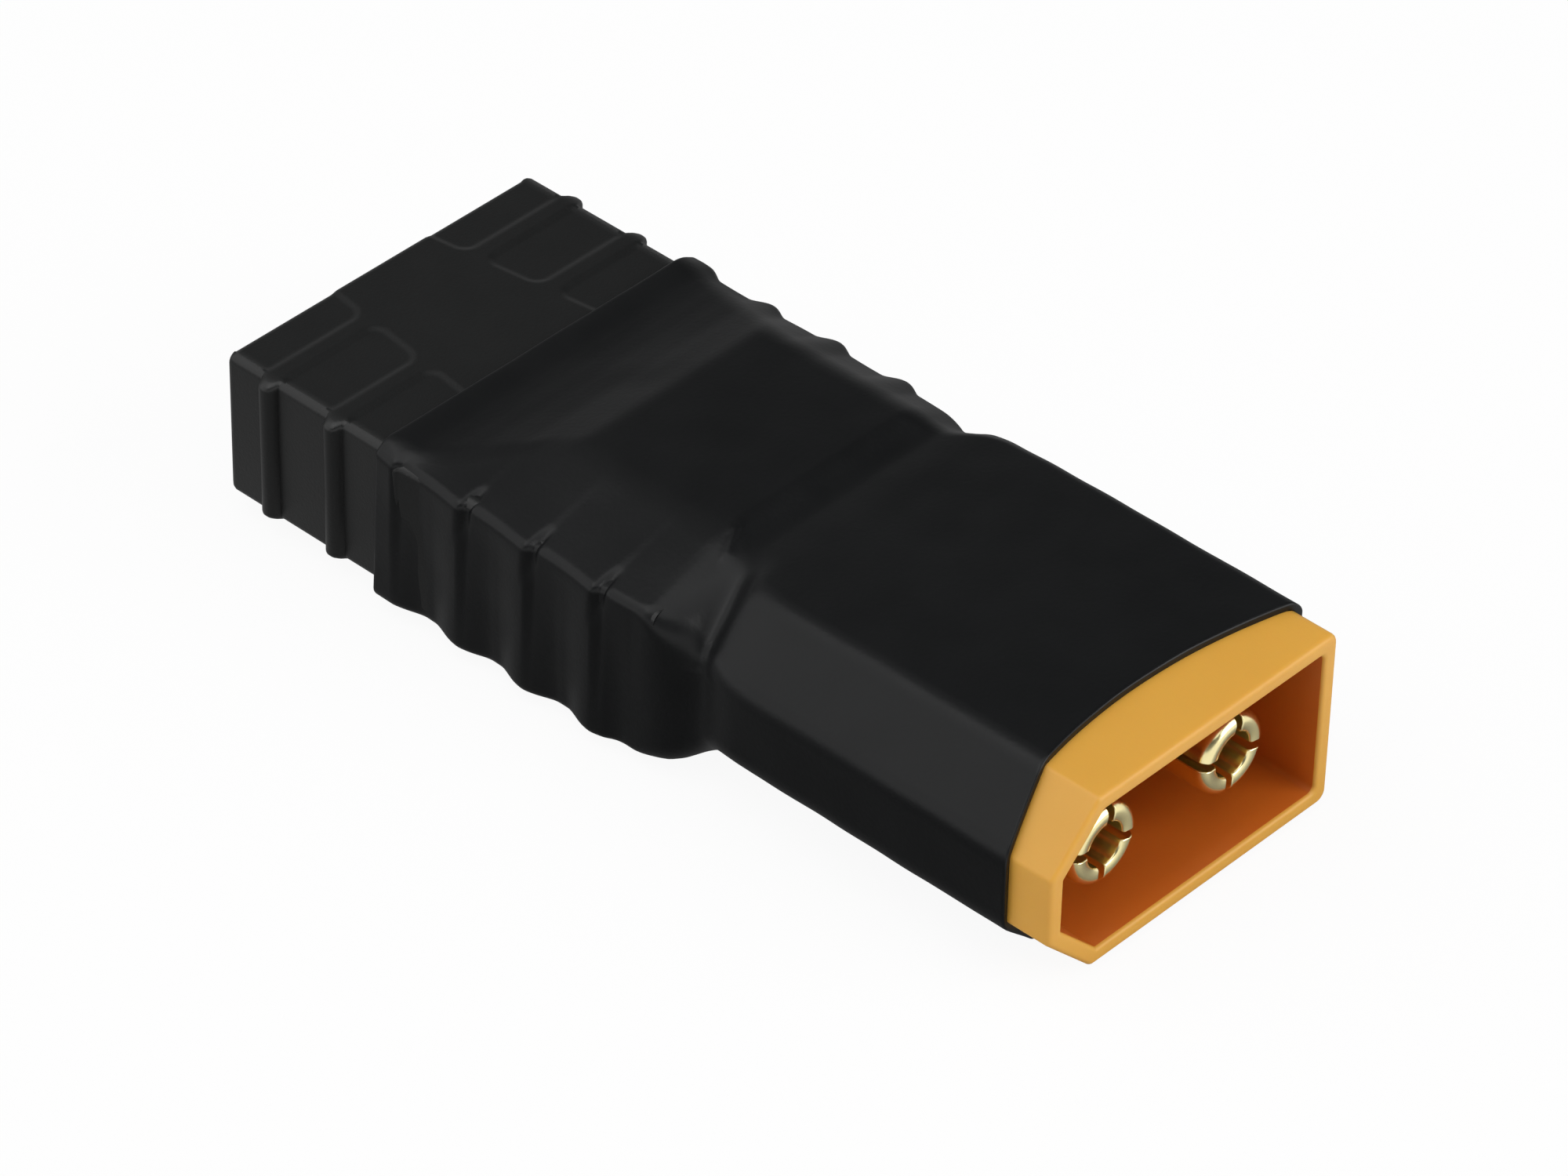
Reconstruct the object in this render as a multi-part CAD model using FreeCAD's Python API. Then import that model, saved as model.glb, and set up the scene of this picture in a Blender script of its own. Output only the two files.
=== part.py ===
import FreeCAD, Part
import math
import os

# Battery connector adapter: a shrouded two-pin plug soldered straight to a flat-blade socket and held by a
# heat-shrink sleeve. Millimetres. X runs from the socket's mouth to the plug's mouth, Y across, Z up.
# While it is built, X = 0 is the socket's mouth and Z = 0 is the plane of the pins. place() then moves all
# of it, so that the origin is under the middle, on the plane that it rests on.

# Sizes of the whole
overall_length = 42.6
housing_gap = 2.7
pin_pitch = 7.2
mould_radius = 0.15
same_place = 1e-6

# Plug housing, with two corners of one short side bevelled
plug_length = 16.9
plug_width = 15.9
plug_height = 8.1
plug_bevel = 2.5
plug_edge_radius = 0.3
plug_wall = 0.7
shroud_depth = 8.6
mouth_radius = 0.45
body_radius = 0.9
mouth_chamfer = 0.22
mouth_bevel = 0.15

# Split pins with solder cups
pin_diameter = 3.5
pin_recess = 1.1
pin_nose = 0.5
nose_share = 0.3
pin_bore = 1.9
pin_slit = 0.35
pin_slit_length = 5.4
petals = 4
petal_turn = -9
shoulder_diameter = 4.4
shoulder_setback = 0.8
neck_diameter = 4.0
cup_diameter = 4.7
cup_bore = 3.6
cup_depth = 3.4
cup_reach = 4.2
pin_clearance = 0.02

# Socket housing
socket_width = 16.76
socket_height = 6.8
socket_drop = 0.15
socket_edge_radius = 0.4
socket_mouth_bevel = 0.25
rib_first = 2.4
rib_last_setback = 2.8
rib_count = 6
rib_height = 0.43
rib_base = 0.85
rib_crest = 0.35
rib_root = 0.2
pocket_depth = 0.13
pocket_radius = 0.7
pocket_bar = 0.55
pocket_inner = 2.4
pocket_inner_slope = 0.13
block_length = 8.5
block_top_width = 8.2
block_side_height = 6.4
trough_clearance = 0.25

# Blade slots, contact strips and springs
slot_end_wall = 8.0
slot_gap = 2.5
flat_slot_width = 6.6
upright_slot_width = 5.5
slot_lead_in = 0.4
slot_side_wall = 1.0
strip_thickness = 1.0
strip_side_clearance = 0.25
strip_recess = 1.2
strip_lead_in = 0.25
tab_clearance = 0.1
tab_end_gap = 0.3
spring_thickness = 0.3
spring_arch = 0.75
spring_side_clearance = 0.6
spring_setback = 2.2
seat_gap = 0.02
solder_cone = 0.2

# Heat-shrink sleeve
sleeve_wall = 0.3
sleeve_gap = 0.03
sleeve_ramp = 5.95
sleeve_setback = 3.25
rim_bow = 1.3
rim_margin = 0.1
rib_bite = 0.06
side_sag = 0.08
sleeve_edge = 0.25
sleeve_rounding = 0.3
ridge_near = 3.9
ridge_far = 6.0
shoulder_height = 3.25
waist_lag = 0.9
waist_lead = 1.2
waist_sink = 0.35
plug_lead = 0.15
plug_corner = 0.4
outer_stations = 2
inner_stations = 2

# Places that follow from the sizes
plug_rear = overall_length - plug_length
shroud_floor = overall_length - shroud_depth
pin_tip = overall_length - pin_recess
shoulder_front = shroud_floor - shoulder_setback
cup_end = plug_rear - cup_reach
socket_length = plug_rear - housing_gap
slot_depth = socket_length - slot_end_wall
block_start = socket_length - block_length
rib_pitch = (socket_length - rib_last_setback - rib_first) / (rib_count - 1)
sleeve_start = block_start - sleeve_ramp
sleeve_middle_end = overall_length - sleeve_setback
band_start = sleeve_middle_end + rim_bow + rim_margin
socket_middle = -socket_drop
block_half_height = plug_height / 2 - socket_drop
underside = -plug_height / 2 - sleeve_gap - sleeve_wall
pin_places = {"positive": pin_pitch / 2, "negative": -pin_pitch / 2}
along = FreeCAD.Vector(1, 0, 0)
upward = FreeCAD.Vector(0, 0, 1)


def ring(x, corners):
    """A closed outline across X at x. Each corner is (y, z, radius): sharp at 0, otherwise an arc."""
    edges = []
    joints = []
    for i, (y, z, radius) in enumerate(corners):
        here = FreeCAD.Vector(x, y, z)
        before = FreeCAD.Vector(x, *corners[i - 1][:2]) - here
        after = FreeCAD.Vector(x, *corners[(i + 1) % len(corners)][:2]) - here
        before.normalize()
        after.normalize()
        half = before.getAngle(after) / 2
        middle = (before + after).normalize()
        setback = radius / math.tan(half)
        bulge = middle * (radius / math.sin(half) - radius)
        joints.append((here + before * setback, here + bulge, here + after * setback))
    for i, (start, top, end) in enumerate(joints):
        if corners[i][2]:
            edges.append(Part.Arc(start, top, end).toShape())
        edges.append(Part.LineSegment(end, joints[(i + 1) % len(joints)][0]).toShape())
    return Part.Wire(edges)


def grown(corners, grow):
    """The outline moved outwards by grow on every side. Corners run anticlockwise, seen from +X."""
    sides = []
    for i, (y, z, radius) in enumerate(corners):
        y_next, z_next, _ = corners[(i + 1) % len(corners)]
        length = math.hypot(y_next - y, z_next - z)
        normal_y, normal_z = (z_next - z) / length, -(y_next - y) / length
        sides.append((normal_y, normal_z, normal_y * y + normal_z * z + grow))
    result = []
    for i, (_, _, radius) in enumerate(corners):
        a_y, a_z, a_d = sides[i - 1]
        b_y, b_z, b_d = sides[i]
        cross = a_y * b_z - a_z * b_y
        y, z = (a_d * b_z - b_d * a_z) / cross, (a_y * b_d - b_y * a_d) / cross
        result.append((y, z, max(radius + grow, mould_radius) if radius else 0))
    return result


def prism(corners, start, end):
    """A straight solid with the given outline, from X = start to X = end."""
    return Part.Face(ring(start, corners)).extrude(along * (end - start))


def block(x0, x1, y0, y1, z0, z1):
    """A box between three pairs of coordinates."""
    return Part.makeBox(x1 - x0, y1 - y0, z1 - z0, FreeCAD.Vector(x0, y0, z0))


def rod(diameter, x0, x1, y):
    """A round bar along X, on a pin's axis."""
    return Part.makeCylinder(diameter / 2, x1 - x0, FreeCAD.Vector(x0, y, 0), along)


def bevelled_end(solid, x, bevel):
    """The solid with all the edges of its end face at x broken."""
    edges = [e for e in solid.Edges if all(abs(v.X - x) < same_place for v in e.Vertexes)]
    return solid.makeChamfer(bevel, edges)


def plug_outline(far_radius):
    """The plug's section: the -Y side has both its corners bevelled, the +Y side is square."""
    half_width, half_height = plug_width / 2, plug_height / 2
    bevel_y, bevel_z = half_width - plug_bevel, half_height - plug_bevel
    return [
        (half_width, half_height, far_radius),
        (-bevel_y, half_height, plug_edge_radius),
        (-half_width, bevel_z, plug_edge_radius),
        (-half_width, -bevel_z, plug_edge_radius),
        (-bevel_y, -half_height, plug_edge_radius),
        (half_width, -half_height, far_radius),
    ]


def plug_housing():
    """Amber shroud and body: a square-edged band at the mouth, rounder corners under the sleeve."""
    body = prism(plug_outline(body_radius), plug_rear, band_start)
    band = prism(plug_outline(mouth_radius), band_start, overall_length)
    band = bevelled_end(band, overall_length, mouth_bevel)
    cavity_outline = grown(plug_outline(plug_wall + mouth_radius / 2), -plug_wall)
    cavity = prism(cavity_outline, shroud_floor, overall_length)
    lip = Part.makeLoft(
        [
            ring(overall_length - mouth_chamfer, cavity_outline),
            ring(overall_length, grown(cavity_outline, mouth_chamfer)),
        ],
        True,
        True,
    )
    housing = body.fuse(band).removeSplitter().cut([cavity, lip])
    bore_front = shoulder_front + pin_clearance
    for y in pin_places.values():
        front = rod(neck_diameter + 2 * pin_clearance, bore_front, shroud_floor, y)
        rear = rod(shoulder_diameter + 2 * pin_clearance, plug_rear, bore_front, y)
        housing = housing.cut([front, rear])
    return housing


def plug_pin(y):
    """One turned pin: split hollow nose, shoulder held in the body, solder cup behind."""
    pin_radius = pin_diameter / 2
    bore_radius = pin_bore / 2
    shoulder_radius = shoulder_diameter / 2
    cup_radius = cup_diameter / 2
    cup_floor = cup_end + cup_depth
    slit_end = pin_tip - pin_slit_length
    centre_end = slit_end - pin_bore / 2
    nose_step = pin_nose * nose_share
    section = [
        (cup_end, cup_bore / 2),
        (cup_end, cup_radius),
        (plug_rear, cup_radius),
        (plug_rear, shoulder_radius),
        (shoulder_front, shoulder_radius),
        (shoulder_front, neck_diameter / 2),
        (shroud_floor, neck_diameter / 2),
        (shroud_floor, pin_radius),
        (pin_tip - pin_nose, pin_radius),
        (pin_tip - nose_step, pin_radius - nose_step),
        (pin_tip, pin_radius - pin_nose),
        (pin_tip, bore_radius),
        (slit_end, bore_radius),
        (centre_end, 0),
        (cup_floor, 0),
        (cup_floor, cup_bore / 2),
        (cup_end, cup_bore / 2),
    ]
    outline = Part.makePolygon([FreeCAD.Vector(x, y, r) for x, r in section])
    pin = Part.Face(outline).revolve(FreeCAD.Vector(0, y, 0), along, 360)
    slits = []
    half_slit = pin_slit / 2
    for turn in range(petals // 2):
        slit = block(slit_end, overall_length, y - pin_diameter, y + pin_diameter, -half_slit, half_slit)
        slit.rotate(FreeCAD.Vector(0, y, 0), along, petal_turn + 360 / petals * turn)
        slits.append(slit)
    return pin.cut(slits)


def socket_outline():
    """The plain section of the mating part of the socket."""
    y, z = socket_width / 2, socket_height / 2
    corners = [(y, z), (-y, z), (-y, -z), (y, -z)]
    return [(y, socket_middle + z, socket_edge_radius) for y, z in corners]


def block_outline():
    """The section of the raised rear block: a flat top and bottom with slopes to the sides."""
    top_y, side_y = block_top_width / 2, socket_width / 2
    top_z, side_z = block_half_height, block_side_height / 2
    corners = [(top_y, top_z), (-top_y, top_z), (-side_y, side_z)]
    corners += [(-side_y, -side_z), (-top_y, -top_z), (top_y, -top_z), (side_y, -side_z), (side_y, side_z)]
    return [(y, socket_middle + z, socket_edge_radius) for y, z in corners]


def grip_ribs():
    """Upright ribs with bevelled flanks along both short sides, over the full height of the mating part."""
    ribs = []
    for k in range(rib_count):
        x = rib_first + k * rib_pitch
        height = socket_height if x < block_start else block_side_height
        half_section = [(x - rib_base / 2, -rib_root), (x - rib_base / 2, 0), (x - rib_crest / 2, rib_height)]
        section = half_section + [(2 * x - place, out) for place, out in reversed(half_section)]
        for side in (1, -1):
            corners = [(place, side * (socket_width / 2 + out)) for place, out in section]
            base = [FreeCAD.Vector(place, y, socket_middle - height / 2) for place, y in corners + corners[:1]]
            ribs.append(Part.Face(Part.makePolygon(base)).extrude(upward * height))
    return ribs


def grip_pockets():
    """Shallow pockets in both broad faces up to the sleeve, between bars that meet the ribs."""
    pockets = []
    edge = socket_width / 2 + rib_height + pocket_radius
    centres = [rib_first + k * rib_pitch for k in range(-1, rib_count)]
    for start, end in zip(centres, centres[1:]):
        x0, x1 = start + pocket_bar / 2, end - pocket_bar / 2
        if x0 > sleeve_start:
            break
        y0 = pocket_inner + pocket_inner_slope * max(x0, 0)
        y1 = pocket_inner + pocket_inner_slope * x1
        corners = [(x0, y0), (x1, y1), (x1, edge), (x0, edge)]
        floor = Part.Face(Part.makePolygon([FreeCAD.Vector(x, y, 0) for x, y in corners + corners[:1]]))
        pocket = floor.extrude(upward * (2 * pocket_depth))
        inner_edges = [e for e in pocket.Edges if upright_at(e, y0, x0) or upright_at(e, y1, x1)]
        pocket = pocket.makeFillet(pocket_radius, inner_edges)
        for level in (socket_height / 2 - pocket_depth, -socket_height / 2 - pocket_depth):
            for side in (1, -1):
                copy = pocket if side == 1 else pocket.mirror(FreeCAD.Vector(), FreeCAD.Vector(0, 1, 0))
                pockets.append(copy.translated(FreeCAD.Vector(0, 0, socket_middle + level)))
    return pockets


def upright_at(edge, y, x):
    """True for a vertical edge that stands at (x, y)."""
    return all(abs(v.X - x) + abs(v.Y - y) < same_place for v in edge.Vertexes)


def flat_slot():
    """The low wide slot on the +Y side: low x, high x, low y, high y, low z, high z."""
    outer = socket_width / 2 - slot_side_wall
    return (0, slot_depth, outer - flat_slot_width, outer, -slot_gap / 2, slot_gap / 2)


def upright_slot():
    """The narrow tall slot on the -Y side, centred on its pin's axis."""
    y, half = pin_places["negative"], upright_slot_width / 2
    return (0, slot_depth, y - slot_gap / 2, y + slot_gap / 2, socket_middle - half, socket_middle + half)


def lead_in(slot):
    """The funnel at a slot's mouth."""
    _, _, y0, y1, z0, z1 = slot
    wires = []
    for x, grow in ((0, slot_lead_in), (slot_lead_in, 0)):
        low_y, high_y, low_z, high_z = y0 - grow, y1 + grow, z0 - grow, z1 + grow
        corners = [(high_y, high_z), (low_y, high_z), (low_y, low_z), (high_y, low_z)]
        wires.append(Part.makePolygon([FreeCAD.Vector(x, y, z) for y, z in corners + corners[:1]]))
    return Part.makeLoft(wires, True, True)


def socket_body():
    """The socket's outer form: mating part, raised rear block and ribs."""
    front = prism(socket_outline(), 0, block_start)
    front = bevelled_end(front, 0, socket_mouth_bevel)
    rear = prism(block_outline(), block_start, socket_length)
    return front.fuse([rear] + grip_ribs())


def socket_housing():
    """Black moulded housing with grip pockets, two blade slots and two troughs for the solder cups."""
    housing = socket_body().cut(grip_pockets())
    for slot in (flat_slot(), upright_slot()):
        housing = housing.cut([block(*slot), lead_in(slot)])
    trough_start = cup_end - trough_clearance
    for name, y in pin_places.items():
        trough = rod(cup_diameter + 2 * trough_clearance, trough_start, socket_length, y)
        housing = housing.cut([trough, socket_tab(name, seat_gap)])
    return housing


def strip_span(name):
    """The strip's low and high y and z inside its slot, on the side away from its spring."""
    if name == "positive":
        _, _, y0, y1, _, z1 = flat_slot()
        side = strip_side_clearance
        return (y0 + side, y1 - side, z1 - seat_gap - strip_thickness, z1 - seat_gap)
    _, _, _, y1, z0, z1 = upright_slot()
    side = strip_side_clearance
    return (y1 - seat_gap - strip_thickness, y1 - seat_gap, z0 + side, z1 - side)


def socket_tab(name, grow):
    """The narrow tail of a strip: through the rear wall and into its solder cup."""
    y0, y1, z0, z1 = strip_span(name)
    centre = pin_places[name]
    reach = cup_bore / 2 - tab_clearance
    if name == "positive":
        half = math.sqrt(reach**2 - max(abs(z0), abs(z1)) ** 2)
        y0, y1 = centre - half, centre + half
    else:
        half = math.sqrt(reach**2 - max(abs(y0 - centre), abs(y1 - centre)) ** 2)
        z0, z1 = -half, half
    tail_end = cup_end + cup_depth - tab_end_gap
    return block(slot_depth - seat_gap, tail_end, y0 - grow, y1 + grow, z0 - grow, z1 + grow)


def socket_contact(name):
    """Flat plated strip in its slot, with a lead-in at the front and the tab behind."""
    strip = block(strip_recess, slot_depth - seat_gap, *strip_span(name))
    strip = bevelled_end(strip, strip_recess, strip_lead_in)
    return strip.fuse(socket_tab(name, 0)).removeSplitter()


def contact_spring(name):
    """Arched leaf that stands on the slot's wall opposite the strip."""
    slot = flat_slot() if name == "positive" else upright_slot()
    slot_width = flat_slot_width if name == "positive" else upright_slot_width
    start = strip_recess + spring_setback
    end = slot_depth - seat_gap
    feet = [FreeCAD.Vector(x, 0, 0) for x in (start, end)]
    crest = FreeCAD.Vector((start + end) / 2, 0, spring_arch)
    strip = Part.Arc(feet[0], crest, feet[1]).toShape().extrude(upward * spring_thickness)
    leaf = strip.extrude(FreeCAD.Vector(0, slot_width - 2 * spring_side_clearance, 0))
    if name == "positive":
        return leaf.translated(FreeCAD.Vector(0, slot[2] + spring_side_clearance, slot[4] + seat_gap))
    leaf.rotate(FreeCAD.Vector(), along, -90)
    return leaf.translated(FreeCAD.Vector(0, slot[2] + seat_gap, slot[5] - spring_side_clearance))


def solder_joint(name):
    """Solder that fills the cup round the tab, with a cone that wets the tab at the mouth."""
    y = pin_places[name]
    cup_floor = cup_end + cup_depth
    fill = rod(cup_bore, cup_end, cup_floor, y)
    mouth = FreeCAD.Vector(cup_end, y, 0)
    cone = Part.makeCone(cup_bore / 2, cup_bore / 2 - solder_cone, solder_cone, mouth, along * -1)
    return fill.fuse(cone).cut(socket_tab(name, 0))


def sleeve_station(middle, top, side, near_top, far_top, near_edge, far_edge, rounding):
    """One octagonal outline of the sleeve's inside, level with z = middle.

    top and side are half its height and half its width. near_top and far_top are where its flat top ends.
    An edge is how far a side's corner lies below the top.
    """
    upper = [
        (side, top - far_edge, rounding),
        (far_top, top, 0),
        (-near_top, top, 0),
        (-side, top - near_edge, rounding),
    ]
    lower = [(y, -z, radius) for y, z, radius in reversed(upper)]
    return [(y, middle + z, radius) for y, z, radius in upper + lower]


def front_station(x, lift):
    """The sleeve over the mating part: flat, rising in a hollow curve towards the raised block."""
    share = ((x - sleeve_start) / sleeve_ramp) ** 2
    flat = socket_width / 2 - sleeve_edge
    top = socket_height / 2 + (block_half_height - socket_height / 2) * share
    near_top = flat + (ridge_near - flat) * share
    far_top = flat + (ridge_far - flat) * share
    edge = sleeve_edge + (block_half_height - shoulder_height - sleeve_edge) * share
    side = socket_width / 2 + lift
    return sleeve_station(socket_middle, top, side, near_top, far_top, edge, edge, sleeve_rounding)


def block_station(lift):
    """The sleeve over the raised rear block."""
    top = block_half_height
    side = socket_width / 2 + lift
    edge = top - shoulder_height
    return sleeve_station(socket_middle, top, side, ridge_near, ridge_far, edge, edge, sleeve_rounding)


def plug_station():
    """The sleeve over the plug: bevelled near side, rounded far side."""
    top, side = plug_height / 2, plug_width / 2
    near_top, far_top = side - plug_bevel, side - plug_corner
    return sleeve_station(0, top, side, near_top, far_top, plug_bevel, plug_corner, plug_edge_radius)


def rib_lift(x):
    """How far the sleeve stands off the socket's side: on the ribs' crests, sagging between them."""
    phase = math.cos(2 * math.pi * (x - rib_first) / rib_pitch)
    return side_sag + (rib_height - rib_bite - side_sag) * (1 + phase) / 2


def spread(start, end, per_rib):
    """Places from start to end, on the ribs' crests and evenly between them."""
    step = rib_pitch / per_rib
    places = [rib_first + k * step for k in range(rib_count * per_rib)]
    return [start] + [x for x in places if start + step / 2 < x < end - step / 2] + [end]


def skin(grow, outer):
    """The space inside the sleeve's surface, moved outwards by grow.

    The outer surface bulges over the ribs and has rounded edges. The inner one is plain.
    """
    per_rib = outer_stations if outer else inner_stations
    plug_start = plug_rear - plug_lead
    front_places = spread(sleeve_start, block_start, per_rib)
    block_places = spread(block_start, socket_length, per_rib) if outer else [block_start, socket_length]
    lifts = {x: rib_lift(x) if outer else side_sag for x in front_places + block_places}
    block_end = block_station(lifts[socket_length])
    stretches = [
        [(x, front_station(x, lifts[x])) for x in front_places],
        [(x, block_station(lifts[x])) for x in block_places],
        [
            (socket_length, block_end),
            (socket_length + waist_lag, grown(block_end, -waist_sink)),
            (plug_rear - waist_lead, grown(plug_station(), -waist_sink)),
            (plug_start, plug_station()),
        ],
        [(plug_start, plug_station()), (overall_length, plug_station())],
    ]
    solids = []
    for stretch in stretches:
        rings = []
        for x, outline in stretch:
            outline = grown(outline, grow)
            rings.append(ring(x, outline if outer else [(y, z, 0) for y, z, _ in outline]))
        solids.append(Part.makeLoft(rings, True, True))
    return solids[0].fuse(solids[1:])


def heat_shrink_sleeve():
    """Shrunk tube over both housings, cut straight at the socket and bowed at the plug's mouth."""
    half_width = plug_width / 2 + sleeve_gap + sleeve_wall
    bow_radius = (half_width**2 + rim_bow**2) / (2 * rim_bow)
    centre = FreeCAD.Vector(sleeve_middle_end + bow_radius, 0, -plug_height)
    trim = Part.makeCylinder(bow_radius, 2 * plug_height, centre, upward)
    shell = skin(sleeve_gap + sleeve_wall, True).cut(skin(sleeve_gap, False))
    return shell.cut([trim, socket_body()])


def place(shape):
    """From the building frame to the part's own: origin under the middle, on the resting plane."""
    return shape.translated(FreeCAD.Vector(-overall_length / 2, 0, -underside))


nodes = {
    "plug_housing": plug_housing(),
    "socket_housing": socket_housing(),
    "heat_shrink_sleeve": heat_shrink_sleeve(),
}
for name, y in pin_places.items():
    nodes["plug_pin_" + name] = plug_pin(y)
    nodes["socket_contact_" + name] = socket_contact(name)
    nodes["contact_spring_" + name] = contact_spring(name)
    nodes["solder_joint_" + name] = solder_joint(name)

os.makedirs("parts", exist_ok=True)
for name, shape in nodes.items():
    placed = place(shape)
    placed.exportStep("parts/" + name + ".step")
    print(name, "solids", len(placed.Solids), "valid", placed.isValid(), "volume", round(placed.Volume, 2))
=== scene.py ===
import math
import bmesh
import bpy
from mathutils import Matrix, Vector, noise


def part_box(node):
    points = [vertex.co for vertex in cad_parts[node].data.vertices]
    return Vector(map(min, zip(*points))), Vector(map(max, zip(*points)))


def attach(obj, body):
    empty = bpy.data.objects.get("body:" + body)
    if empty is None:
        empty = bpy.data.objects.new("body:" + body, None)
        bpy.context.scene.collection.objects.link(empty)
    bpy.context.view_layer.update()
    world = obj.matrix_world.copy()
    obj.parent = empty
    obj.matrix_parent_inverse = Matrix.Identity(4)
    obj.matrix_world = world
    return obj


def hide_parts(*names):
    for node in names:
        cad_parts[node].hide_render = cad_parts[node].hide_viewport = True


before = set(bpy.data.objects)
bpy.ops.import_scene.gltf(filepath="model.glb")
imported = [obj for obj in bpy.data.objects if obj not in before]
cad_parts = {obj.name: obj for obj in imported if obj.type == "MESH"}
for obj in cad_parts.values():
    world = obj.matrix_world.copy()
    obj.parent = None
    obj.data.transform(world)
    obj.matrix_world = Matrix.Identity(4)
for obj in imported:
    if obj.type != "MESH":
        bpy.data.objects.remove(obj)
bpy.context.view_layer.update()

# Socket contacts and leaf springs: stamped strips of brass and copper alloy with a bright gold plating,
# pushed into the two blade slots before anything else. Only their ends show, deep in the slots.


def linear(hex_colour):
    """An sRGB hex colour as the linear RGBA that the shader wants."""
    values = [int(hex_colour[i:i + 2], 16) / 255 for i in (1, 3, 5)]
    return [v / 12.92 if v <= 0.04045 else ((v + 0.055) / 1.055) ** 2.4 for v in values] + [1]


def add_node(material, kind, settings, inputs):
    """Adds a node to the material, with its settings, its plain inputs and its linked inputs."""
    node = material.node_tree.nodes.new(kind)
    for name, value in settings.items():
        setattr(node, name, value)
    for name, value in inputs.items():
        if isinstance(value, bpy.types.NodeSocket):
            material.node_tree.links.new(value, node.inputs[name])
        else:
            node.inputs[name].default_value = value
    return node


def start_material(name):
    """An empty material, and the place on the object in millimetres as a texture vector."""
    material = bpy.data.materials.new(name)
    material.use_nodes = True
    material.node_tree.nodes.clear()
    place = add_node(material, "ShaderNodeTexCoord", {}, {})
    scaled = add_node(
        material, "ShaderNodeVectorMath", {"operation": "SCALE"}, {0: place.outputs["Object"], "Scale": 1000}
    )
    return material, scaled.outputs["Vector"]


# Gold plating on turned or stamped brass: a pale warm metal that mirrors the white studio. Tool lines 0.4
# mm apart, drawn coarser than the real ones so that they show, and a duller film in clouds about a
# millimetre wide where it has been handled.
plated_brass, plated_place = start_material("gold_plated_brass_turned")
tarnish = add_node(
    plated_brass, "ShaderNodeTexNoise", {}, {"Vector": plated_place, "Scale": 0.9, "Detail": 4.0}
)
tool_lines = add_node(
    plated_brass, "ShaderNodeTexWave", {"bands_direction": "X"},
    {"Vector": plated_place, "Scale": 0.8, "Distortion": 0.6, "Detail": 2.0},
)
plated_colour = add_node(
    plated_brass, "ShaderNodeMix", {"data_type": "RGBA"},
    {"Factor": tarnish.outputs["Fac"], "A": linear("#faeeb8"), "B": linear("#eedfa2")},
)
plated_gloss = add_node(
    plated_brass, "ShaderNodeMapRange", {}, {"Value": tarnish.outputs["Fac"], "To Min": 0.14, "To Max": 0.28}
)
plated_bump = add_node(
    plated_brass, "ShaderNodeBump", {},
    {"Height": tool_lines.outputs["Fac"], "Strength": 0.2, "Distance": 0.00001},
)
plated_shader = add_node(
    plated_brass, "ShaderNodeBsdfPrincipled", {},
    {
        "Base Color": plated_colour.outputs["Result"], "Metallic": 1.0,
        "Roughness": plated_gloss.outputs["Result"], "Normal": plated_bump.outputs["Normal"],
    },
)
add_node(plated_brass, "ShaderNodeOutputMaterial", {}, {"Surface": plated_shader.outputs[0]})


def dress(node_name, material):
    """Gives a CAD node that stays in view its material."""
    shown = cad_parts[node_name]
    shown.data.materials.clear()
    shown.data.materials.append(material)
    for face in shown.data.polygons:
        face.material_index = 0


for side in ("positive", "negative"):
    dress("socket_contact_" + side, plated_brass)
    dress("contact_spring_" + side, plated_brass)

# Socket housing: glass-filled black nylon, injection moulded round the slots, with upright grip ribs on both
# short sides and shallow pockets on both broad faces. The contacts are pressed in from behind.
# Sizes here and below are in millimetres: X from the socket's mouth, Y across, Z from the pins' plane.
MM = 0.001
socket_low, socket_high = [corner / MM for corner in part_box("socket_housing")]
pin_low, pin_high = [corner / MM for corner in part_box("plug_pin_positive")]
MOUTH_X, PINS_Z = socket_low.x, (pin_low.z + pin_high.z) / 2
RIBS = {"first": 2.4, "pitch": 3.56, "count": 6, "height": 0.43, "base": 0.85}
SOCKET = {
    "length": socket_high.x - MOUTH_X, "half_width": socket_high.y - RIBS["height"], "half_height": 3.4,
    "middle": -0.15, "edge": 0.4, "mouth": 0.25,
}
POCKETS = {
    "depth": 0.07, "bar": 0.5, "inner": 2.4, "slope": 0.13, "radius": 0.8, "wall": 0.4,
    "last": 10.0, "plain": 5.4, "fine": (0.06, 0.84),
}
BLOCK = {"start": SOCKET["length"] - 8.5, "half_height": 3.9, "half_top": 4.1, "side_height": 3.2}
FLAT_SLOT = (0.78, 7.38, -1.25, 1.25)
UPRIGHT_SLOT = (-4.85, -2.35, -2.9, 2.6)
SLOT_DEPTH, SLOT_LEAD_IN = SOCKET["length"] - 8.0, 0.3


def split(start, end, parts):
    """The places that split start to end into equal parts, both ends included."""
    return [start + (end - start) * k / parts for k in range(parts + 1)]


def spread(start, end, step):
    """Even places from start to end, about step apart, both ends included."""
    return split(start, end, max(1, round((end - start) / step)))


def soft_step(value, start, end):
    """0 before start, 1 behind end, smooth between."""
    share = min(max((value - start) / (end - start), 0.0), 1.0)
    return share * share * (3 - 2 * share)


def make_piece(name, points, faces, material, crease_angle):
    """A mesh object from points in millimetres, smooth except at edges sharper than the angle."""
    mesh = bpy.data.meshes.new(name)
    mesh.from_pydata([Vector((x + MOUTH_X, y, z + PINS_Z)) * MM for x, y, z in points], [], faces)
    mesh.validate()
    mesh.shade_smooth()
    mesh.set_sharp_from_angle(angle=math.radians(crease_angle))
    mesh.materials.append(material)
    piece = bpy.data.objects.new(name, mesh)
    bpy.context.scene.collection.objects.link(piece)
    return piece


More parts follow.
